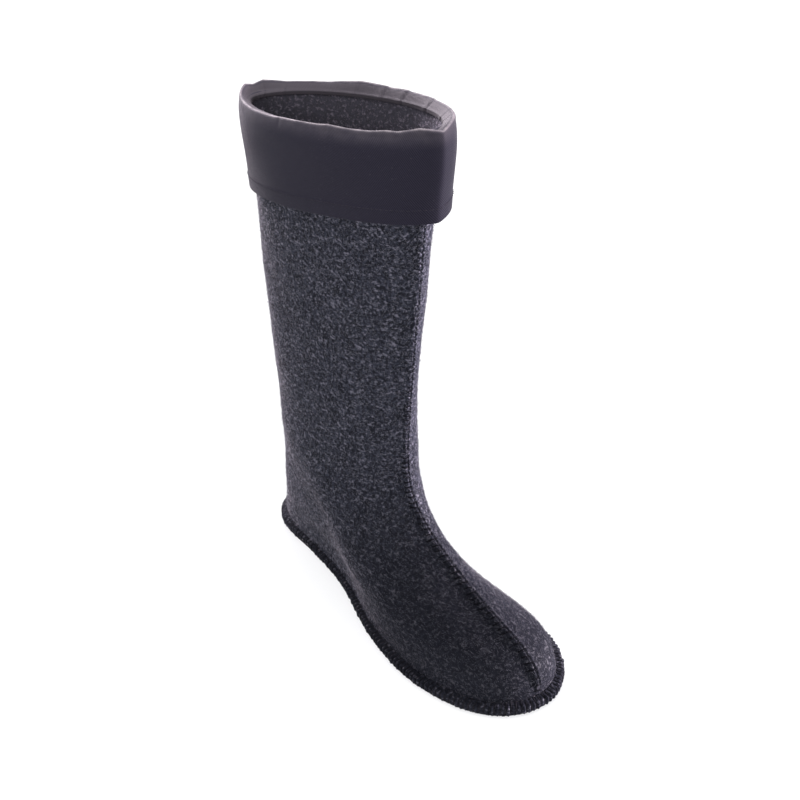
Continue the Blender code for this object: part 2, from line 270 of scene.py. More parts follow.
def tubes(name, paths, side, radius, finish, sides=6, **facts):
    # round threads: a circle carried along each path, drawn in and closed at both ends
    count, steps = paths.shape[:2]
    t = np.linspace(-1.0, 1.0, steps)
    swell = np.broadcast_to(radius, (count,))[:, None] * np.sqrt(np.clip(1 - t**10, 0.2, 1.0))
    along = unit(np.gradient(paths, axis=1))
    lift = unit(np.cross(along, side))
    across = unit(np.cross(lift, along))
    turn = np.arange(sides) * 2 * np.pi / sides
    ring = across[:, :, None] * np.cos(turn)[:, None] + lift[:, :, None] * np.sin(turn)[:, None]
    points = paths[:, :, None] + ring * swell[:, :, None, None]
    caps = np.stack([paths[:, 0] - along[:, 0] * swell[:, :1], paths[:, -1] + along[:, -1] * swell[:, -1:]])
    index = np.arange(count * steps * sides).reshape(count, steps, sides)
    index = np.concatenate([index, index[:, :, :1]], axis=2)
    length = walked(paths, axis=1)
    uv = np.stack(np.broadcast_arrays(np.linspace(0.0, 1.0, sides + 1), length[:, :, None]), axis=3)

    def around(grid):
        quads = np.stack([grid[:, :-1, :-1], grid[:, :-1, 1:], grid[:, 1:, 1:], grid[:, 1:, :-1]], axis=3)
        return quads.reshape(-1, 4, *grid.shape[3:])

    def fan(grid, centre):
        ends = [np.stack([centre[0], grid[:, 0, 1:], grid[:, 0, :-1]], axis=2)]
        ends.append(np.stack([centre[1], grid[:, -1, :-1], grid[:, -1, 1:]], axis=2))
        return np.concatenate(ends).reshape(-1, 3, *grid.shape[3:])

    first = count * steps * sides
    centre = np.broadcast_to((first + np.arange(2 * count)).reshape(2, count, 1), (2, count, sides))
    ends = np.stack([uv[:, 0, :-1], uv[:, -1, :-1]])
    points = np.concatenate([points.reshape(-1, 3), caps.reshape(-1, 3)])
    faces = [around(index), fan(index, centre)]
    return meshFrom(name, points, faces, finish, [around(uv), fan(uv, ends)], **facts)


def ribbonSolid(name, front, back, finish, flip=False, **facts):
    # a strip with a front and a back: a flat loop with pointed edges as its section, folded shut at both ends
    middle = (front + back) / 2
    half = np.linalg.norm(front - back, axis=2, keepdims=True) / 2
    tip = middle[:, -1:] + unit(middle[:, -1:] - middle[:, -2:-1]) * half[:, -1:]
    root = middle[:, :1] + unit(middle[:, :1] - middle[:, 1:2]) * half[:, :1]
    loop = np.concatenate([front, tip, back[:, ::-1], root], axis=1)
    flat = np.concatenate([middle, tip, middle[:, ::-1], root], axis=1)
    first = flat[:1] + unit(flat[:1] - flat[1:2]) * half[0].mean()
    last = flat[-1:] + unit(flat[-1:] - flat[-2:-1]) * half[-1].mean()
    loop = np.concatenate([first, loop, last])
    u = walked(np.concatenate([loop, loop[:, :1]], axis=1), axis=1).mean(axis=0)
    v = walked(loop).mean(axis=1)
    return gridMesh(name, loop, finish, pinch=loop.shape[1] - 2, uv=uvGrid(u, v), flip=flip, **facts)


class Socket:
    # an output socket; arithmetic on it adds Math nodes, and node() adds any other node
    def __init__(self, tree, output=None):
        self.tree = tree
        self.output = output

    def node(self, kind, settings, sockets, output=0):
        made = self.tree.nodes.new("ShaderNode" + kind)
        for name, value in settings.items():
            setattr(made, name, value)
        for name, value in sockets.items():
            if isinstance(value, Socket):
                self.tree.links.new(value.output, made.inputs[name])
            else:
                made.inputs[name].default_value = value
        return Socket(self.tree, made.outputs[output])

    def math(self, operation, first, second=0.0):
        return self.node("Math", {"operation": operation}, {0: first, 1: second})

    def __add__(self, other):
        return self.math("ADD", self, other)

    def __radd__(self, other):
        return self.math("ADD", other, self)

    def __sub__(self, other):
        return self.math("SUBTRACT", self, other)

    def __rsub__(self, other):
        return self.math("SUBTRACT", other, self)

    def __mul__(self, other):
        return self.math("MULTIPLY", self, other)

    def __rmul__(self, other):
        return self.math("MULTIPLY", other, self)

    def __abs__(self):
        return self.math("ABSOLUTE", self)

    def coords(self, kind):
        return self.node("TexCoord", {}, {}, kind)

    def axis(self, number):
        return self.node("SeparateXYZ", {}, {0: self}, number)

    def into(self, shader, socket):
        self.tree.links.new(self.output, shader.inputs[socket])

    def scaled(self, factor, start):
        return self * factor + start

    def larger(self, other):
        return self.math("MAXIMUM", self, other)

    def zigzag(self):
        return abs(self.math("FRACT", self) - 0.5) * 2.0  # 1 at whole numbers, 0 half way between them

    def ramp(self, low, high):
        settings = {"interpolation_type": "SMOOTHSTEP"}
        return self.node("MapRange", settings, {"Value": self, "From Min": low, "From Max": high})

    def noise(self, scale, detail=2.0, roughness=0.5):
        sockets = {"Vector": self, "Scale": scale, "Detail": detail, "Roughness": roughness}
        return self.node("TexNoise", {}, sockets, "Fac")

    def turned(self, angles, stretch):
        return self.node("Mapping", {}, {"Vector": self, "Rotation": angles, "Scale": stretch})

    def blend(self, first, second):
        return self.node("Mix", {"data_type": "RGBA"}, {0: self, 6: first, 7: second}, 2)

    def bump(self, strength, distance):
        return self.node("Bump", {}, {"Strength": strength, "Distance": distance, "Height": self}, "Normal")


def colour(r, g, b):
    return (r, g, b, 1.0)


def newFinish(name, constants):
    # a Principled material; constants go straight on the shader's sockets
    made = bpy.data.materials.new(name)
    made.use_nodes = True
    shader = made.node_tree.nodes["Principled BSDF"]
    for socket, value in constants.items():
        shader.inputs[socket].default_value = value
    return made, shader, Socket(made.node_tree)


feltFinish = {
    "dark": colour(0.0075, 0.008, 0.0125),
    "middle": colour(0.03, 0.032, 0.046),
    "light": colour(0.14, 0.145, 0.185),
    "dull": {"Roughness": 0.95, "Specular IOR Level": 0.05},
    "nap": {
        "Roughness": 0.95, "Specular IOR Level": 0.05,
        "Coat Weight": 0.7, "Coat Roughness": 0.65, "Coat Tint": colour(1.0, 0.88, 0.96),
        "Sheen Weight": 1.0, "Sheen Roughness": 0.16, "Sheen Tint": colour(1.0, 0.9, 0.97),
    },
    "cloud": 60.0, "cloudShare": 0.15,  # soft patches, per metre
    "grain": 470.0, "toneRange": (0.36, 0.66),  # lumps of fibre, per metre
    "streak": 530.0,
    # turns and stretches of the three layers of streaks
    "streaks": (
        ((0.3, 0.5, 0.2), (1.0, 0.45, 1.0)),
        ((0.9, 0.1, 1.3), (1.0, 0.45, 1.0)),
        ((1.4, 0.8, 2.3), (0.45, 1.0, 1.0)),
    ),
    "fleckGrain": 0.35, "fleckRange": (0.6, 0.8), "fleckShare": 0.68,
    "napShare": (0.95, 0.08),  # how a share grows with the flecks, and where it starts
    "grainRelief": 0.6, "streakRelief": 0.7, "bump": (0.8, 0.0006),
    # painted shade darkens the front of the foot: how much for the felt, the sewn edge and the fibres, up to
    # what height and how far back, in metres
    "footShade": 0.8, "sewnShade": 0.45, "fuzzShade": 0.6, "footUp": (0.03, 0.15), "footBack": (-0.06, 0.1),
    # painted light: pale flecks at the heel
    "paintedLight": colour(0.17, 0.16, 0.19), "paintedLightShare": (0.6, 0.08),
    "heelBack": (0.06, 0.1), "heelUp": (0.02, 0.08),
    # painted light: the felt is paler inside, in metres below the rim
    "mouthPaintedLight": colour(0.2, 0.185, 0.225), "mouthShare": (0.55, 0.3), "mouthDeep": (0.03, 0.048),
    # the sewn edge is darker from the arch to the ball, less at heel and toe: partly thread cover, partly
    # painted shade
    "coverStart": (-0.105, -0.06), "coverEnd": (0.095, 0.12), "coverAndShadeShare": 0.55,
    "patchRange": (0.3, 0.7), "patchShare": 0.1,
}


def paintedFootShade(place):
    # where shade is painted: 1 on the front of the foot, falling to 0 up the shaft and towards the heel
    return (1 - place.axis(2).ramp(*feltFinish["footUp"])) * (1 - place.axis(1).ramp(*feltFinish["footBack"]))


def makeFelt(name, sewn):
    # dull felt, mixed by its pale flecks with a napped felt that shines at a slant
    look = feltFinish
    made, shader, root = newFinish(name, look["dull"])
    nap = root.tree.nodes.new("ShaderNodeBsdfPrincipled")
    for socket, value in look["nap"].items():
        nap.inputs[socket].default_value = value
    place = root.coords("Object")
    y, z = place.axis(1), place.axis(2)
    cloud = place.noise(look["cloud"], 2.0)
    grain = place.noise(look["grain"], 2.0, 0.6)
    streak = None
    for angles, stretch in look["streaks"]:
        layer = place.turned(angles, stretch).noise(look["streak"], 1.0)
        streak = layer if streak is None else streak.larger(layer)
    tone = (grain + (cloud - 0.5) * look["cloudShare"]).ramp(*look["toneRange"])
    fleck = (streak + (grain - 0.5) * look["fleckGrain"]).ramp(*look["fleckRange"])
    paint = tone.blend(look["dark"], look["middle"])
    paint = (fleck * look["fleckShare"]).blend(paint, look["light"])
    # painted shade on the front of the foot
    shade = look["sewnShade" if sewn else "footShade"]
    paint = (paintedFootShade(place) * shade).blend(paint, look["dark"])
    # painted light inside the collar, down from the rim
    front, back = feltFace(rim, np.array([0.0, np.pi])) * mm
    fall = (front[2] - back[2]) / (back[1] - front[1])  # the rim falls towards the heel
    inMouth = 1 - (front[2] - fall * (y - front[1]) - z).ramp(*look["mouthDeep"])
    paint = (inMouth * fleck.scaled(*look["mouthShare"])).blend(paint, look["mouthPaintedLight"])
    # painted light: pale flecks at the heel
    paintedLight = y.ramp(*look["heelBack"]) * (1 - z.ramp(*look["heelUp"]))
    paint = (paintedLight * fleck.scaled(*look["paintedLightShare"])).blend(paint, look["paintedLight"])
    if sewn:
        # darker sewn edge: partly thread cover, partly painted shade
        coveredAndShaded = (y.ramp(*look["coverStart"]) - y.ramp(*look["coverEnd"])) * look["coverAndShadeShare"]
        patches = cloud.ramp(*look["patchRange"]) * look["patchShare"]
        paint = (coveredAndShaded + patches).blend(paint, look["dark"])
    relief = grain * look["grainRelief"] + streak * look["streakRelief"]
    relief = relief.bump(*look["bump"])
    for part in (shader, nap):
        paint.into(part, "Base Color")
        relief.into(part, "Normal")
    dull, napped = (Socket(root.tree, part.outputs[0]) for part in (shader, nap))
    surface = root.node("MixShader", {}, {0: fleck.scaled(*look["napShare"]), 1: dull, 2: napped})
    surface.into(root.tree.nodes["Material Output"], "Surface")
    return made


fuzzFinish = {
    "fibre": {"Roughness": 0.8, "Specular IOR Level": 0.3, "Sheen Tint": colour(0.95, 0.85, 0.95)},
    "patches": 300.0, "patchRange": (0.35, 0.65), "paler": 1.7,
    "pale": colour(0.14, 0.14, 0.17), "paleSheen": 0.1,
    "dark": colour(0.012, 0.012, 0.018), "darkSheen": 0.05,
}


def makeFuzz(name, kind):
    # fibres of one colour, paler in patches, with painted shade on the foot
    constants = {**fuzzFinish["fibre"], "Sheen Weight": fuzzFinish[kind + "Sheen"]}
    made, shader, root = newFinish(name, constants)
    place = root.coords("Object")
    tone = place.noise(fuzzFinish["patches"], 2.0).ramp(*fuzzFinish["patchRange"])
    paint = fuzzFinish[kind]
    paint = tone.blend(paint, colour(*(min(1.0, c * fuzzFinish["paler"]) for c in paint[:3])))
    # painted shade on the foot
    paint = (paintedFootShade(place) * feltFinish["fuzzShade"]).blend(paint, feltFinish["middle"])
    paint.into(shader, "Base Color")
    return made


threadFinish = {
    "thread": {"Roughness": 0.9, "Specular IOR Level": 0.03},
    "black": (colour(0.0025, 0.0025, 0.004), colour(0.008, 0.008, 0.011)),
    "grey": (colour(0.012, 0.011, 0.016), colour(0.042, 0.038, 0.05)),
    "strands": 3.0, "twist": 1.4,  # strands round the thread, and along a millimetre of it
    "wornAndPaintedLight": colour(0.022, 0.021, 0.027), "wornToe": (-0.105, -0.075), "wornHeel": (0.085, 0.11),
    "spots": 400.0, "spotRange": (0.3, 0.6),
    "bump": (0.5, 0.0001),
}


def makeThread(name, shade, wornAndPaintedLight=False):
    # twisted thread: strands slant round it, u once round and v in millimetres along; worn at heel and toe
    look = threadFinish
    made, shader, root = newFinish(name, look["thread"])
    uv = root.coords("UV")
    twist = (uv.axis(0) * look["strands"] + uv.axis(1) * look["twist"]).zigzag()
    paint = twist.blend(*look[shade])
    if wornAndPaintedLight:
        place = root.coords("Object")
        y = place.axis(1)
        ends = 1 - y.ramp(*look["wornToe"]) + y.ramp(*look["wornHeel"])
        spots = place.noise(look["spots"]).ramp(*look["spotRange"])
        paint = (ends * spots).blend(paint, look["wornAndPaintedLight"])
    paint.into(shader, "Base Color")
    twist.bump(*look["bump"]).into(shader, "Normal")
    return made


twillFinish = {
    "cloth": {
        "Specular IOR Level": 0.08,
        "Sheen Weight": 0.1, "Sheen Roughness": 0.2, "Sheen Tint": colour(1.0, 0.9, 1.0),
    },
    "dark": colour(0.008, 0.007, 0.012),
    "light": colour(0.0215, 0.0195, 0.034),
    "toneRange": (0.05, 0.85),
    "pitch": 1.25, "slant": 0.8,  # millimetres from one diagonal rib to the next, along the collar
    "wander": 0.25, "wanderShare": 0.35,
    "wefts": 2.1,  # for each millimetre
    "slub": (0.15, 2.5, 1.0), "uneven": (0.1, 0.1, 0.1), "unevenRange": (0.35, 0.65),
    "ribShare": 0.75, "weftShare": 0.12, "slubShare": 0.3,
    "dust": colour(0.2, 0.19, 0.2), "dustGrain": 900.0, "dustRange": (0.7, 0.8), "dustShare": 0.1,
    # painted light on the band turned inside: its colour, from where to where inside the crest in
    # millimetres, and how much
    "inside": colour(0.11, 0.095, 0.1), "insideLightFrom": (0.5, 2.5), "insideLightShare": 0.3,
    # painted highlight along the fold, in millimetres from its crest, and painted light on the flap below it
    "wornAndPaintedLight": colour(0.2, 0.175, 0.19), "fold": (0.2, 1.5), "foldHighlightShare": (0.5, 0.25),
    "paintedLightFrom": (-0.5, 0.5), "paintedLightTo": (0.0, 13.0), "paintedLightUneven": (0.4, 0.7), "paintedLightShare": 0.15,
    "roughness": (-0.2, 0.8), "bump": (0.55, 0.00025),
}


def makeTwill():
    # diagonal ribs crossed by the weft, with slubs and dust; painted light on the band turned inside and on
    # the flap below the fold, and a painted highlight along the fold; v counts millimetres from the crest of
    # the fold
    look = twillFinish
    made, shader, root = newFinish("black twill", look["cloth"])
    uv = root.coords("UV")
    u, v = uv.axis(0), uv.axis(1)
    unturned = (0.0, 0.0, 0.0)
    wander = uv.noise(look["wander"], 2.0) * look["wanderShare"]
    rib = ((u + v * look["slant"]) * (1 / look["pitch"]) + wander).zigzag()
    weft = (v * look["wefts"]).zigzag()
    slub = uv.turned(unturned, look["slub"]).noise(1.0, 2.0) - 0.5
    weave = rib * look["ribShare"] + weft * look["weftShare"] + slub * look["slubShare"]
    paint = weave.ramp(*look["toneRange"]).blend(look["dark"], look["light"])
    dust = root.coords("Object").noise(look["dustGrain"], 1.0).ramp(*look["dustRange"])
    paint = (dust * look["dustShare"]).blend(paint, look["dust"])
    # painted light on the band turned inside
    inside = (-1 * v).ramp(*look["insideLightFrom"]) * look["insideLightShare"]
    paint = inside.blend(paint, look["inside"])
    uneven = uv.turned(unturned, look["uneven"]).noise(1.0, 2.0).ramp(*look["unevenRange"])
    # painted light on the flap below the fold, and a painted highlight along the fold
    paintedLight = v.ramp(*look["paintedLightFrom"]) * (1 - v.ramp(*look["paintedLightTo"]))
    paintedLight = paintedLight * uneven.scaled(*look["paintedLightUneven"]) * look["paintedLightShare"]
    fold = (1 - abs(v).ramp(*look["fold"])) * uneven.scaled(*look["foldHighlightShare"])
    for share in (paintedLight, fold):
        paint = share.blend(paint, look["wornAndPaintedLight"])
    paint.into(shader, "Base Color")
    weave.scaled(*look["roughness"]).into(shader, "Roughness")
    weave.bump(*look["bump"]).into(shader, "Normal")
    return made


ribbonFinish = {
    "ribbon": {"Specular IOR Level": 0.4, "Sheen Weight": 0.15},
    "red": (colour(0.42, 0.008, 0.014), colour(0.68, 0.02, 0.03)),
    "white": (colour(0.6, 0.6, 0.62), colour(0.84, 0.84, 0.86)),
    "ribShare": 0.6, "warps": 0.8, "warpShare": 0.4,
    "slub": 0.6, "weaveShare": 0.6, "slubShare": 0.4,
    "bump": (0.4, 0.0001),
}


def makeRibbon(name, shade, ribs, gloss):
    # woven ribbon: fine ribs across it and warp threads along it, in millimetres of UV
    look = ribbonFinish
    made, shader, root = newFinish(name, {**look["ribbon"], "Roughness": gloss})
    uv = root.coords("UV")
    rib = (uv.axis(1) * ribs).zigzag()
    warp = (uv.axis(0) * ribs * look["warps"]).zigzag()
    weave = rib * look["ribShare"] + warp * look["warpShare"]
    slub = uv.noise(look["slub"], 2.0)
    tone = weave * look["weaveShare"] + slub * look["slubShare"]
    tone.blend(*look[shade]).into(shader, "Base Color")
    weave.bump(*look["bump"]).into(shader, "Normal")
    return made


felt = makeFelt("heather felt", False)
sewnFelt = makeFelt("heather felt under thread", True)
twill = makeTwill()
seamThread = makeThread("black seam thread", "black")
edgeThread = makeThread("fuzzed edge thread", "black", wornAndPaintedLight=True)
hemThread = makeThread("cuff thread", "grey")
print("finishes made")


upperLook = {
    "rowsOutside": 236, "rowsInside": 64, "flank": 112,
    "rowsEven": 0.75, "rowsPower": 1.6,  # the rest of the rows' spread draws them closer at the sole
    "seamHalf": 3.0, "seamHeight": 2.4,
    "groove": 0.4, "grooveWidth": 0.2,  # the two raw edges of the panels meet in it
    "under": 0.6,  # share of the bead's height that the upper's own face takes under the sewn bead
    "fadeStart": 0.5, "fadeEnd": 1.6,  # shares of the cuff's drop over which the seam rises
    # the felt's soft unevenness: height, and the seed, count, lengths and turns of its waves
    "lump": 0.28, "fineShare": 0.5,
    "broad": (3, 14, (40.0, 120.0), (2, 9)), "fine": (5, 30, (9.0, 26.0), (9, 30)),
    "lumpsFrom": (10.0, 30.0), "lumpsTo": (0.0, 40.0),  # millimetres above the sole and below the rim
}
# where the felt is fuller, at the big toe and over the arch:
# height, place up the wall and round it, reach both ways
feltSwells = ((3.4, 19.0, 2 * np.pi - 0.55, 9.0, 0.45), (3.4, 46.0, 2.05, 24.0, 0.38))
seamStrip = np.array([0.0, 0.1, 0.2, 0.32, 0.48, 0.64, 0.78, 0.9, 1.0])


def seamRise(way, angle):
    # half round bead over each seam with a groove along its middle, dying out at the sole and the cuff
    away = np.abs(feltFace(way, angle)[..., 0]) / upperLook["seamHalf"]
    bead = np.sqrt(np.clip(1 - away**2, 0.0, 1.0))
    groove = 1 - upperLook["groove"] * np.exp(-((away / upperLook["grooveWidth"]) ** 2))
    overSole = smoothStep(wallKnots[2], wallKnots[4], way)
    underCuff = smoothStep(upperLook["fadeStart"], upperLook["fadeEnd"], (rim - way) / cuffDrop)
    return upperLook["seamHeight"] * bead * groove * overSole * underCuff


def feltLumps(way, angle):
    # low waves up and round the wall, none at the sewn edge and the collar
    fade = smoothStep(*upperLook["lumpsFrom"], way) * smoothStep(*upperLook["lumpsTo"], rim - way)
    broad = ripples(way, angle, *upperLook["broad"])
    fine = ripples(way, angle, *upperLook["fine"])
    out = upperLook["lump"] * fade * (broad + upperLook["fineShare"] * fine)
    for height, up, place, tall, wide in feltSwells:
        turned = turnedFrom(angle, place)
        out = out + height * np.exp(-(((way - up) / tall) ** 2) - (turned / wide) ** 2)
    return out


def makeUpper():
    # outer face with its seams up to the collar, then the inner face back down, one wall apart
    rows = np.linspace(0.0, 1.0, upperLook["rowsOutside"])
    even = upperLook["rowsEven"]
    outWay = rim * (even * rows + (1 - even) * rows ** upperLook["rowsPower"])
    inWay = np.linspace(rim, 0.0, upperLook["rowsInside"])
    points = []
    for way, inside in ((outWay, False), (inWay, True)):
        angle = ringAngles(way, upperLook["seamHalf"], seamStrip, upperLook["flank"])
        way = np.broadcast_to(way[:, None], angle.shape)
        out = feltLumps(way, angle)
        out = out - boot["felt"] if inside else out + upperLook["under"] * seamRise(way, angle)
        points.append(feltPoint(way, angle, out))
    points = np.concatenate(points)
    return gridMesh("feltUpper", points, felt, wrapRows=True, slot="felt", replaced=("upper",))


makeUpper()

soleLook = {"columns": 360, "edge": 1.1, "rings": 14, "edgeRows": 9}


def makeSole():
    # outline drawn in towards its middle, out over the underside, round the soft edge and back in on top
    angle = np.arange(soleLook["columns"]) * 2 * np.pi / soleLook["columns"]
    edge = feltFace(0.0, angle)[:, :2]
    reach = np.linalg.norm(edge, axis=1)
    turn = np.linspace(-np.pi / 2, np.pi / 2, soleLook["edgeRows"])
    flat = np.linspace(0.0, 1.0, soleLook["rings"])[1:-1]
    level = np.ones(len(flat))
    inset = soleLook["edge"] * np.concatenate([level, 1 - np.cos(turn), level])
    share = np.concatenate([flat, np.ones(len(turn)), flat[::-1]])
    rise = boot["felt"] / 2 * (1 + np.sin(turn))
    height = np.concatenate([np.full(len(flat), rise[0]), rise, np.full(len(flat), rise[-1])])
    scale = share[:, None] * (1 - inset[:, None] / reach[None, :])
    z = np.broadcast_to(height[:, None, None], (*scale.shape, 1))
    points = np.concatenate([edge * scale[..., None], z], axis=2)
    return gridMesh("feltSole", points, felt, poles=True, slot="felt", replaced=("sole",))


makeSole()
print("felt made")


overlock = {
    "spacing": 3.4, "radius": 0.42, "slant": 0.9, "steps": 13,
    "stray": 0.3, "strayOut": 0.12,  # how much the stitches vary along the edge and away from it
    # outward from the sole's edge and height, from the foot of the wall over the edge to the underside
    "path": np.array([
        (-4.4, 7.6), (-3.4, 7.0), (-2.0, 6.8), (-0.8, 6.6), (0.1, 5.8),
        (0.4, 4.5), (0.4, 2.4), (0.1, 1.0), (-0.9, 0.5),
    ]),
    "core": np.array([(-2.2, 1.6), (-3.6, 4.5)]),  # closes the felt roll inside sole and upper
    "bulge": 1.1, "swells": (0.4, 1.5), "perStitch": 9,  # the felt swells between two stitches
    "bulgePower": 0.6, "bulgeRise": 0.4, "rollSunk": 0.3,
    "looper": 0.3, "looperSwing": 0.9, "looperHeight": 5.2, "looperOut": 0.42,
    # the edge stands up higher behind the heel and leans in there
    "lobe": 3.5, "lobeLean": 0.8, "lobeRound": np.pi - 0.35, "lobeReach": 0.35, "lobeFrom": (5.5, 7.0),
}


def evenAngles(spacing):
    # angles round the sole's edge at even steps of its length
    fine = np.linspace(0.0, 2 * np.pi, 4001)
    length = walked(feltFace(0.0, fine))
    count = round(length[-1] / spacing)
    return np.interp(np.arange(count) * length[-1] / count, length, fine)


def edgeFrame(angle):
    # point of the sole's edge, the way outward from it and the way along it, in the floor's plane
    along = unit(feltFace(0.0, angle + 0.004) - feltFace(0.0, angle - 0.004))
    return feltFace(0.0, angle), np.cross(np.array([0.0, 0.0, 1.0]), along), along


def makeOverlock():
    # one thread loop per stitch, its cross path carried to every stitch's place and slanted along the edge
    look = overlock
    angle = evenAngles(look["spacing"])
    edge, outward, along = edgeFrame(angle)
    rng = np.random.default_rng(11)
    steps = np.linspace(0.0, len(look["path"]) - 1.0, look["steps"])
    knots = np.arange(len(look["path"]), dtype=float)
    u, z = (smoothThrough(steps, knots, values) for values in look["path"].T)
    lean = look["slant"] * np.linspace(-1.0, 1.0, len(u))
    stray = rng.normal(0.0, look["stray"], (len(angle), 1))
    strayOut = rng.normal(0.0, look["strayOut"], (len(angle), 1))
    leanIn = look["lobeLean"]

    def lobe(angle):
        away = (angle - look["lobeRound"]) / look["lobeReach"]
        return look["lobe"] * np.exp(-(away**2)) * smoothStep(*look["lobeFrom"], z)[:, None]

    paths = edge[:, None] + outward[:, None] * (u + strayOut - leanIn * lobe(angle).T)[..., None]
    paths = paths + along[:, None] * (lean + stray)[..., None]
    paths[..., 2] = z + lobe(angle).T
    side = np.broadcast_to(along[:, None], paths.shape)
    tubes("soleOverlock", paths, side, look["radius"], edgeThread)
    # the felt roll under the loops swells between them, most at its outermost line
    fine = evenAngles(look["spacing"] / look["perStitch"])
    edge, outward, _ = edgeFrame(fine)
    phase = np.arange(len(fine)) * len(angle) / len(fine)
    swells = rng.uniform(*look["swells"], len(angle))
    size = np.interp(phase, np.arange(len(angle)) + 0.5, swells, period=len(angle))
    between = look["bulge"] * np.sin(np.pi * phase) ** 2 * size
    full = between * np.sin(np.linspace(0.0, np.pi, len(u)))[:, None] ** look["bulgePower"]
    out = u[:, None] - look["rollSunk"] + full - leanIn * lobe(fine)
    roll = edge[None] + outward[None] * out[..., None]
    away = np.sign(z - boot["felt"])[:, None]  # up above the sole's felt, down below it
    roll[..., 2] = z[:, None] + look["bulgeRise"] * full * away + lobe(fine)
    core = edge[None] + outward[None] * look["core"][:, None, :1]
    core[..., 2] = look["core"][:, 1:]
    gridMesh("sewnEdge", np.concatenate([roll, core]), sewnFelt, wrapRows=True, flip=True, slot="felt")
    # the looper thread zigzags along the edge from stitch to stitch, and its ends meet at the toe
    swing = np.sin(phase * 2 * np.pi)
    line = edge + outward * look["looperOut"]
    line[:, 2] = look["looperHeight"] + look["looperSwing"] * swing
    side = np.broadcast_to(np.array([0.0, 0.0, 1.0]), line.shape)
    tubes("edgeLooper", line[None], side[None], look["looper"], edgeThread, sides=5)


makeOverlock()

seamStitch = {
    "spacing": 3.5, "slant": 0.8, "steps": 15,
    # place up the wall, how far the loops come down beside the seam there, and the thread's radius
    "loops": np.array([
        (60.0, 4.2, 0.5), (150.0, 3.3, 0.46), (205.0, 2.6, 0.42), (235.0, 1.2, 0.34), (270.0, 0.8, 0.3),
    ]),
    "strayReach": 0.2, "straySlant": 0.4, "strayUp": 0.2,  # how much the loops vary
    "pinch": 0.34, "loopPinch": 0.7,  # share of the bead's height that a loop draws in, and its part of it
    "loopLift": 0.6, "loopDip": 0.9,  # in radii of the thread: the loop's middle stands out, its ends dip in
    "loopHide": 1.6, "hideOver": (0.0, 0.5),  # the pile hides the loops on the shin seam's inner side
    "rowStep": 0.6, "columns": 23, "bury": 0.9,
    "tuckIn": 0.5, "tuckOver": (0.8, 1.0),  # the bead's edges dip into the felt
    "underCuff": 0.72,  # share of the cuff's drop where the seam ends
}
stitchStart = wallKnots[3]
stitchEnd = rim - seamStitch["underCuff"] * cuffDrop


def makeSeamStitches():
    # a felt bead drawn in at each stitch, and a thread loop there from one panel to the other
    look = seamStitch
    for name, share in (("shin", shin), ("heel", heel)):
        way = np.arange(stitchStart, stitchEnd, look["rowStep"])[:, None]
        offset = np.linspace(-1.0, 1.0, look["columns"])[None, :] * upperLook["seamHalf"]
        angle = seamAngle(way, offset, share)
        drawn = (0.5 + 0.5 * np.cos(2 * np.pi * (way - stitchStart) / look["spacing"])) ** 2
        rise = seamRise(way, angle) * (1 - look["pinch"] * drawn)
        away = np.abs(offset) / upperLook["seamHalf"]
        buried = look["tuckIn"] * smoothStep(*look["tuckOver"], away)
        lumps = feltLumps(way, angle)
        bead = feltPoint(way, angle, lumps + rise - buried)
        foot = feltPoint(way, angle, lumps - look["bury"])
        ribbonSolid(name + "Bead", bead, foot, felt, flip=share == heel, slot="felt")
        way = np.arange(stitchStart, stitchEnd, look["spacing"])
        rng = np.random.default_rng(21 + int(share))
        across = np.linspace(-1.0, 1.0, look["steps"])
        place, reach, radius = look["loops"].T
        radius = np.interp(way, place, radius)
        reach = np.interp(way, place, reach) * (1 + rng.normal(0.0, look["strayReach"], len(way)))
        slant = look["slant"] * across * rng.normal(1.0, look["straySlant"], (len(way), 1))
        place = way[:, None] + slant + rng.normal(0.0, look["strayUp"], (len(way), 1))
        angle = seamAngle(place, reach[:, None] * across, share)
        rise = seamRise(place, angle) * (1 - look["loopPinch"] * look["pinch"])
        stand = look["loopLift"] - look["loopDip"] * across**6
        if share == shin:
            stand = stand - look["loopHide"] * smoothStep(*look["hideOver"], -across)
        paths = feltPoint(place, angle, rise + feltLumps(place, angle) + radius[:, None] * stand)
        upWall = feltFrame(way[:, None], np.full((len(way), 1), np.pi * share))[2]
        side = np.broadcast_to(upWall, paths.shape)
        tubes(name + "Overlock", paths, side, radius, seamThread)


makeSeamStitches()
print("overlocked seams made")


cuffLook = {
    "cloth": 1.6, "inside": 3.5, "hem": 10.0, "hemStep": 0.25, "hemSlope": 0.5, "hemRound": 0.6,
    "crest": 2.7, "crestOut": 0.3,  # top of the fold over the felt's edge, and its place across the wall
    "foldInside": 1.2, "foldOutside": 1.0,  # where the fold starts below the edge on each side
    "foldPower": 1.45,
    "flareShin": 8.0, "flareSide": 2.0, "flareHeel": 1.5,
    "shoulder": 2.2, "shoulderDrop": 7.0,  # the flap leans out below the fold before it hangs down
    "columns": 300, "seamColumns": 7,
    "measured": 40, "closing": 2.0,  # the row that u is measured on, and v's step back to the first row
    "heelCorner": 4.0, "heelCornerWidth": 0.2, "heelCornerDepth": 22.0,  # the rim is drawn to a point behind
    "shinCorner": 2.4, "shinCornerWidth": 0.11, "cornerSoft": 0.3,
    "tuckWidth": 0.015, "tuckDepth": 3.0,
    "tuckSwell": 0.7, "tuckShift": 2.6, "tuckSpread": 2.0,  # low swell beside a pleat, in widths of it
    "wave": 0.3, "waves": (9, 12, (30.0, 90.0), (1, 7)), "wavesFrom": (4.0, 20.0),
    # rows of the mesh on the band, the fold, every round, the flap, the hem, the back and the edge
    "rows": {"band": 8, "fold": 15, "round": 9, "flap": 40, "hem": 9, "back": 12, "edge": 4},
}
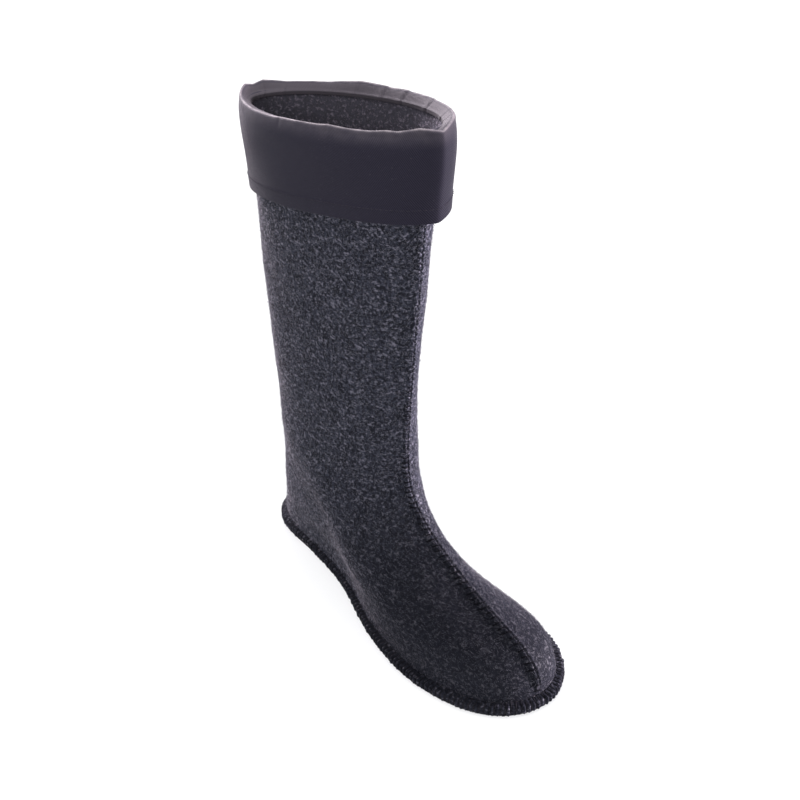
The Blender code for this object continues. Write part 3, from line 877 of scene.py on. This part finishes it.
# the fold runs straight from one kink to the next: angle round the collar and lift above the even rim
rimKinks = np.array([
    (0.00, -0.8), (0.33, 1.9), (0.57, 0.2), (0.70, 0.9), (0.85, 0.0), (1.05, 0.3), (1.23, 1.3), (1.31, 0.5),
    (1.72, -0.3), (1.80, -1.0), (2.15, -1.4), (2.42, -0.6),
    (2.90, 2.4), (3.06, 3.4), (3.20, 1.6), (3.34, 3.6), (3.65, 1.3), (4.09, 1.1), (4.43, 3.3), (4.68, 2.5),
    (4.72, 2.0), (4.90, 2.5), (4.94, 1.9), (5.24, 1.9), (5.28, 1.4), (5.80, 1.8), (6.05, 0.8),
])
# pleats that cross the fold, the deep ones on the inner flank: angle and depth
rimTucks = np.array([
    (0.57, 0.25), (1.23, 0.25), (1.72, 0.3), (2.42, 0.3), (3.20, 0.6), (3.34, 0.6), (3.65, 0.5),
    (4.43, 0.35), (4.70, 0.4), (4.92, 0.4), (5.26, 0.4), (5.62, 0.3), (5.80, 0.3),
])


def cuffFlare(angle, drop):
    # stand-off of the flap: a soft shoulder below the fold, then growing to the hem, most at the shin
    ahead = np.clip(np.cos(angle), 0.0, 1.0) ** 2
    behind = np.clip(-np.cos(angle), 0.0, 1.0) ** 2
    side = cuffLook["flareSide"]
    ends = ahead * (cuffLook["flareShin"] - side) + behind * (cuffLook["flareHeel"] - side)
    shoulder = cuffLook["shoulder"]
    leaning = shoulder * (1 - np.exp(-drop / cuffLook["shoulderDrop"]))
    return leaning + (side + ends - shoulder) * drop / cuffDrop


def nearTo(angle, place, width):
    # 1 at the place and falling off to both sides, with a softened tip
    soft = cuffLook["cornerSoft"]
    return np.exp(soft - np.hypot(turnedFrom(angle, place) / width, soft))


def rimTuck(angle):
    # narrow trough at every pleat, with a low swell on one side of it
    away = turnedFrom(angle[..., None], rimTucks[:, 0]) / cuffLook["tuckWidth"]
    trough = np.exp(-(away**2))
    swell = np.exp(-(((away + cuffLook["tuckShift"]) / cuffLook["tuckSpread"]) ** 2))
    return np.sum((cuffLook["tuckSwell"] * swell - trough) * rimTucks[:, 1], axis=-1)


def cuffCorner(angle, drop):
    # what the flap adds to the plain cloth: a point at the back seam, a crease at the shin and a slow wave
    point = nearTo(angle, np.pi, cuffLook["heelCornerWidth"]) * np.exp(-drop / cuffLook["heelCornerDepth"])
    crease = nearTo(angle, 0.0, cuffLook["shinCornerWidth"])
    wave = ripples(drop, angle, *cuffLook["waves"]) * smoothStep(*cuffLook["wavesFrom"], drop)
    return cuffLook["heelCorner"] * point + cuffLook["shinCorner"] * crease + cuffLook["wave"] * wave


def rimLift(angle):
    return np.interp(np.mod(angle, 2 * np.pi), rimKinks[:, 0], rimKinks[:, 1], period=2 * np.pi)


def cuffRows():
    # profile rows (height over the felt's edge, out, flared, cornered, tucked): the band inside, the fold
    # up to its crest and over it, the flap, the hem, and back up against the felt
    look = cuffLook
    count, gap = look["rows"], boot["gap"]
    outer, inner = gap + look["cloth"], -(boot["felt"] + gap + look["cloth"])
    hem, low = cuffDrop - look["hem"], cuffDrop - look["hemRound"]
    top, crestOut = look["crest"], look["crestOut"]
    inFoot, outFoot = look["foldInside"], look["foldOutside"]
    rows = [(-d, inner, 0.0, 0.5, -1.0) for d in np.linspace(look["inside"], inFoot, count["band"])]
    for s in np.linspace(0.0, 1.0, count["fold"])[1:]:
        climb = (top + inFoot) * (1 - (1 - s) ** look["foldPower"]) - inFoot
        rows.append((climb, inner + (crestOut - inner) * s, 0.0, 0.5 + 0.5 * s, s - 1.0))
    for t in np.linspace(0.0, np.pi / 2, count["round"])[1:]:
        across = crestOut + (outer - crestOut) * np.sin(t)
        rows.append(((top + outFoot) * np.cos(t) - outFoot, across, 1.0, 1.0, np.sin(t)))
    for d in np.linspace(outFoot, hem, count["flap"])[1:]:
        rows.append((-d, outer, 1.0, 1.0, np.exp(-((d / look["tuckDepth"]) ** 2))))
    edge = outer + look["hemStep"]
    rows += [(-d, edge, 1.0, 1.0, 0.0) for d in np.linspace(hem + look["hemSlope"], low, count["hem"])]
    middle = (edge + gap) / 2
    for t in np.linspace(0.0, np.pi, count["round"])[1:-1]:
        across = middle + (edge - middle) * np.cos(t)
        rows.append((-low - look["hemRound"] * np.sin(t), across, 1.0, 0.5 + 0.5 * np.cos(t), 0.0))
    rows += [(-d, gap, 1.0, 0.0, 0.0) for d in np.linspace(low, 0.0, count["back"])]
    feltInside = -boot["felt"] - gap
    rows += [(gap, out, 0.0, 0.0, 0.0) for out in np.linspace(gap, feltInside, count["edge"])]
    rows += [(-d, feltInside, 0.0, 0.0, 0.0) for d in np.linspace(1.0, look["inside"], count["edge"])]
    return np.array(rows).T


def makeCuff():
    # the profile is carried round the collar; the crest alone takes the lifts of the rim
    height, out, flared, cornered, tucked = (row[:, None] for row in cuffRows())
    drop, rise = np.maximum(-height, 0.0), np.maximum(height, 0.0)
    strip = np.linspace(0.0, 1.0, cuffLook["seamColumns"])
    angle = ringAngles((rim - drop)[:, 0], upperLook["seamHalf"], strip, cuffLook["columns"])
    added = cornered * cuffCorner(angle, drop) * (rise + flared > 0) + tucked * rimTuck(angle)
    lift = rimLift(angle) * np.clip(rise / cuffLook["crest"], 0.0, 1.0) * (cornered > 0)
    points = feltPoint(rim - drop, angle, out + flared * cuffFlare(angle, drop) + added, rise + lift)
    v = walked(points).mean(axis=1)
    v = np.append(v, v[-1] + cuffLook["closing"]) - v[np.argmax(height)]  # counted from the crest of the fold
    ring = points[cuffLook["measured"]]
    uv = uvGrid(walked(np.vstack([ring, ring[:1]])), v)
    facts = {"slot": "cuff_cloth", "replaced": ("cuff",), "group": cuffs}
    return gridMesh("turnedCuff", points, twill, wrapRows=True, uv=uv, flip=True, **facts)


makeCuff()

hemLook = {"length": 2.5, "pitch": 3.2, "radius": 0.24, "line": 9.4, "steps": 6, "lift": 0.5, "dip": 1.6}
outerCloth = boot["gap"] + cuffLook["cloth"]


def makeHem():
    # short threads end to end round the flap, dipping into the cloth at both ends
    look = hemLook
    drop = cuffDrop - look["line"]
    out = outerCloth + cuffLook["hemStep"]
    fine = np.linspace(0.0, 2 * np.pi, 3001)
    line = feltPoint(rim - drop, fine, out + cuffFlare(fine, drop))
    walk = walked(line)
    count = round(walk[-1] / look["pitch"])
    start = np.arange(count)[:, None] * walk[-1] / count
    t = np.linspace(0.0, 1.0, look["steps"])
    angle = np.interp(start + t * look["length"], walk, fine)
    dip = look["radius"] * (look["lift"] - look["dip"] * np.abs(2 * t - 1) ** 4)
    paths = feltPoint(rim - drop, angle, out + cuffFlare(angle, drop) + cuffCorner(angle, drop) + dip)
    side = feltFrame(rim - drop, angle)[2]
    tubes("hemStitches", paths, side, look["radius"], hemThread, sides=5, slot="cuff_cloth", group=cuffs)


makeHem()
print("cuff made")


tabLook = {
    "length": 12.0, "height": 26.0, "thickness": 0.9, "drop": 19.0, "lift": 0.5, "rows": 27, "columns": 25,
}
labelLook = {
    "length": 34.0, "height": 15.0, "thickness": 0.6, "up": 92.0, "lift": 7.0, "rows": 17, "columns": 41,
    "curl": 0.5, "curlTurn": 5.0, "ruffle": 0.35, "ruffleTurn": 2.0, "ruffleSlant": 0.25,
}


def makeTab():
    # plain folded tab in the cuff's back seam, lying on the inner flank's side
    look = tabLook
    drop = np.linspace(look["drop"], look["drop"] + look["height"], look["rows"])[:, None]
    along = np.linspace(0.0, 1.0, look["columns"])[None, :]
    angle = np.pi + along * look["length"] / section["innerHeel"][-2]
    out = outerCloth + cuffFlare(angle, drop) + cuffCorner(angle, drop)
    out = out + boot["gap"] + look["thickness"] / 2 + look["lift"] * along**2
    points = feltPoint(rim - drop, angle, out)
    half = feltFrame(rim - drop, angle)[1] * look["thickness"] / 2
    red = makeRibbon("red ribbon", "red", ribs=2.2, gloss=0.55)
    facts = {"slot": "tab_ribbon", "replaced": ("cuff_tab",), "group": ribbons}
    return ribbonSolid("redTab", points + half, points - half, red, flip=True, **facts)


def makeLabel():
    # plain label in the heel seam, its free end standing off the inner flank
    look = labelLook
    middle = np.interp(look["up"], section["backUp"], wallKnots)
    way = middle + np.linspace(0.5, -0.5, look["rows"])[:, None] * look["height"]
    along = np.linspace(0.0, 1.0, look["columns"])[None, :]
    angle = np.pi + along * look["length"] / section["innerHeel"][-2]
    curl = look["curl"] * np.sin(along * look["curlTurn"])
    slant = (way - middle) * look["ruffleSlant"] + along * look["ruffleTurn"]
    curl = (curl + look["ruffle"] * np.cos(slant)) * along
    out = upperLook["seamHeight"] + boot["gap"] + look["thickness"] / 2 + look["lift"] * along**2
    points = feltPoint(way, angle, out + curl)
    normal = unit(np.cross(np.gradient(points, axis=1), np.gradient(points, axis=0)))
    half = normal * look["thickness"] / 2
    white = makeRibbon("white ribbon", "white", ribs=3.0, gloss=0.45)
    facts = {"slot": "label_ribbon", "replaced": ("care_label",), "group": ribbons}
    return ribbonSolid("plainLabel", points + half, points - half, white, flip=True, **facts)


makeTab()
makeLabel()
print("tab and label made")


fuzzLook = {
    "longCount": 32000, "shortCount": 32000, "darkCount": 24000, "collarCount": 10000,
    "longLength": (1.6, 3.6), "shortLength": (0.8, 2.0), "radius": 0.05, "thickness": (0.6, 1.5),
    "longLift": 0.35, "shortLift": 0.6, "leastLift": 0.06, "droop": (0.1, 1.2), "bend": 0.6,
    "sunk": 0.08,  # the root's depth in the felt
    "cells": 300,
    "inside": (70.0, 3.0),  # millimetres below the rim
    "underCuff": 0.85,  # share of the cuff's drop where the outside fuzz ends
}


def scatter(rng, count, low, high):
    # random places on the wall, even over its area: cells of a fine grid drawn by their size
    cells = fuzzLook["cells"]
    way = np.linspace(low, high, cells + 1)
    angle = np.linspace(0.0, 2 * np.pi, cells + 1)
    face = feltFace(way[:, None], angle[None, :])
    first = face[:-1, :-1]
    area = np.linalg.norm(np.cross(face[1:, :-1] - first, face[:-1, 1:] - first), axis=2).ravel()
    row, column = np.divmod(rng.choice(area.size, count, p=area / area.sum()), cells)
    way = way[row] + rng.random(count) * (way[1] - way[0])
    return way, angle[column] + rng.random(count) * (angle[1] - angle[0])


def makeFibres(name, seed, kind, count, low, high, finish, inside=False):
    # each fibre is a slim bent spindle: root, three points round its middle and tip;
    # it leaves the felt at a slant and turns as it goes
    rng = np.random.default_rng(seed)
    way, angle = scatter(rng, count, low, high)
    point, normal, upWall, along = feltFrame(way, angle)
    out = feltLumps(way, angle) + (-boot["felt"] if inside else seamRise(way, angle))
    face = -1.0 if inside else 1.0
    rootPoint = point + normal * (out - fuzzLook["sunk"] * face)[:, None]
    normal = normal * face
    heading = rng.uniform(0, 2 * np.pi, count)
    bend = rng.normal(0.0, fuzzLook["bend"], count)
    length = rng.uniform(*fuzzLook[kind + "Length"], count)
    lift = np.abs(rng.normal(0.0, fuzzLook[kind + "Lift"], count)) + fuzzLook["leastLift"]
    droop = lift * rng.uniform(*fuzzLook["droop"], count)

    def direction(turn, rise):
        flat = along * np.cos(turn)[:, None] + upWall * np.sin(turn)[:, None]
        return flat * np.cos(rise)[:, None] + normal * np.sin(rise)[:, None]

    first, second = direction(heading, lift), direction(heading + bend, droop)
    middle = rootPoint + first * (0.5 * length)[:, None]
    tip = middle + second * (0.5 * length)[:, None]
    heart = unit(tip - rootPoint)
    wide = unit(np.cross(heart, normal))
    high = np.cross(heart, wide)
    radius = (fuzzLook["radius"] * rng.uniform(*fuzzLook["thickness"], count))[:, None]
    around = [middle + radius * (wide * np.cos(t) + high * np.sin(t)) for t in np.arange(3) * 2 * np.pi / 3]
    points = np.stack([rootPoint, *around, tip], axis=1)
    sides = np.array([[0, 2, 1], [0, 3, 2], [0, 1, 3], [4, 1, 2], [4, 2, 3], [4, 3, 1]])
    index = np.arange(count)[:, None, None] * 5 + sides
    return meshFrom(name, points.reshape(-1, 3), [index.reshape(-1, 3)], finish, slot="felt")


paleFuzz = makeFuzz("pale fibre", "pale")
darkFuzz = makeFuzz("dark fibre", "dark")
outside = (wallKnots[2], rim - fuzzLook["underCuff"] * cuffDrop)
inside = [rim - depth for depth in fuzzLook["inside"]]
makeFibres("longFuzz", 31, "long", fuzzLook["longCount"], *outside, paleFuzz)
makeFibres("shortFuzz", 34, "short", fuzzLook["shortCount"], *outside, paleFuzz)
makeFibres("darkFuzz", 32, "long", fuzzLook["darkCount"], *outside, darkFuzz)
insideFuzz = makeFibres("collarFuzz", 33, "short", fuzzLook["collarCount"], *inside, paleFuzz, inside=True)
cuffs.objects.link(insideFuzz)  # the light over the collar shines on it too
print("fuzz made")


studio = {
    "eye": (-0.4446, -0.5933, 0.6470),
    "forward": (0.49985825, 0.67013348, -0.54869194),
    "up": (0.35226119, 0.42144976, 0.83563877),
    "lens": 62.82,
    "sensor": 36.0,
    "glow": 0.75,  # even light from all round
    "pink": (1.0, 0.9, 0.98), "white": (1.0, 1.0, 1.0),
    "floor": 6.0, "floorDrop": 0.0004,
    "floorFinish": {"Base Color": colour(0.92, 0.92, 0.93), "Roughness": 0.9},
    # name, where it comes from, strength, spread in degrees, tint and what it shines on
    "lights": (
        ("frontLeft", (-0.75, -0.55, 0.35), 0.9, 40.0, "white", pieces),
        ("backEdge", (0.12, 0.95, 0.15), 11.0, 20.0, "pink", felts),
        ("rightEdge", (0.88, -0.45, 0.12), 14.0, 15.0, "pink", felts),
        ("cuffBack", (0.2, 0.94, 0.15), 7.0, 20.0, "pink", cuffs),
        ("cuffRight", (0.88, -0.45, 0.12), 8.5, 15.0, "pink", cuffs),
        ("collarLight", (0.0, 0.0, 1.0), 6.5, 30.0, "white", cuffs),
        ("floorLight", (0.0, 0.0, 1.0), 2.0, 40.0, "white", stage),
    ),
}


def put(made, turn, place):
    made.matrix_world = Matrix([(*row, p) for row, p in zip(turn, place)] + [(0, 0, 0, 1)])
    bpy.context.scene.collection.objects.link(made)


def makeStage():
    # a wide flat floor just below the boot, and a world that is white behind it
    size, low = studio["floor"], -studio["floorDrop"]
    points = [(-size, -size, low), (size, -size, low), (size, size, low), (-size, size, low)]
    mesh = bpy.data.meshes.new("studioFloor")
    mesh.from_pydata(points, [], [(0, 1, 2, 3)])
    mesh.materials.append(newFinish("white floor", studio["floorFinish"])[0])
    floor = bpy.data.objects.new("studioFloor", mesh)
    stage.objects.link(floor)
    world = bpy.data.worlds.new("studio")
    world.use_nodes = True
    root = Socket(world.node_tree)
    glow = root.node("Background", {}, {"Color": colour(1.0, 1.0, 1.0), "Strength": studio["glow"]})
    seen = root.node("Background", {}, {"Color": colour(1.0, 1.0, 1.0)})
    ways = {0: root.node("LightPath", {}, {}, "Is Camera Ray"), 1: glow, 2: seen}
    root.node("MixShader", {}, ways).into(root.tree.nodes["World Output"], "Surface")
    bpy.context.scene.world = world
    bpy.context.scene.view_settings.view_transform = "Standard"


def makeLight(name, source, strength, spread, tint, shineOn):
    # a very wide distant light for one group; the floor's has no shadow
    lamp = bpy.data.lights.new(name, "SUN")
    lamp.energy = strength
    lamp.angle = np.radians(spread)
    lamp.color = studio[tint]
    lamp.use_shadow = shineOn is not stage
    made = bpy.data.objects.new(name, lamp)
    away = unit(np.array(source))
    right = unit(np.cross(np.array([0.0, 1.0, 0.1]), away))
    put(made, np.stack([right, np.cross(away, right), away], axis=1), source)
    made.light_linking.receiver_collection = shineOn


def makeCamera():
    lens = bpy.data.cameras.new("photoView")
    lens.sensor_width = studio["sensor"]
    lens.lens = studio["lens"]
    made = bpy.data.objects.new("photoView", lens)
    forward, up = np.array(studio["forward"]), np.array(studio["up"])
    right = np.cross(forward, up)
    put(made, np.stack([right, up, -forward], axis=1), studio["eye"])
    bpy.context.scene.camera = made


makeStage()
for light in studio["lights"]:
    makeLight(*light)
makeCamera()
print("studio made")
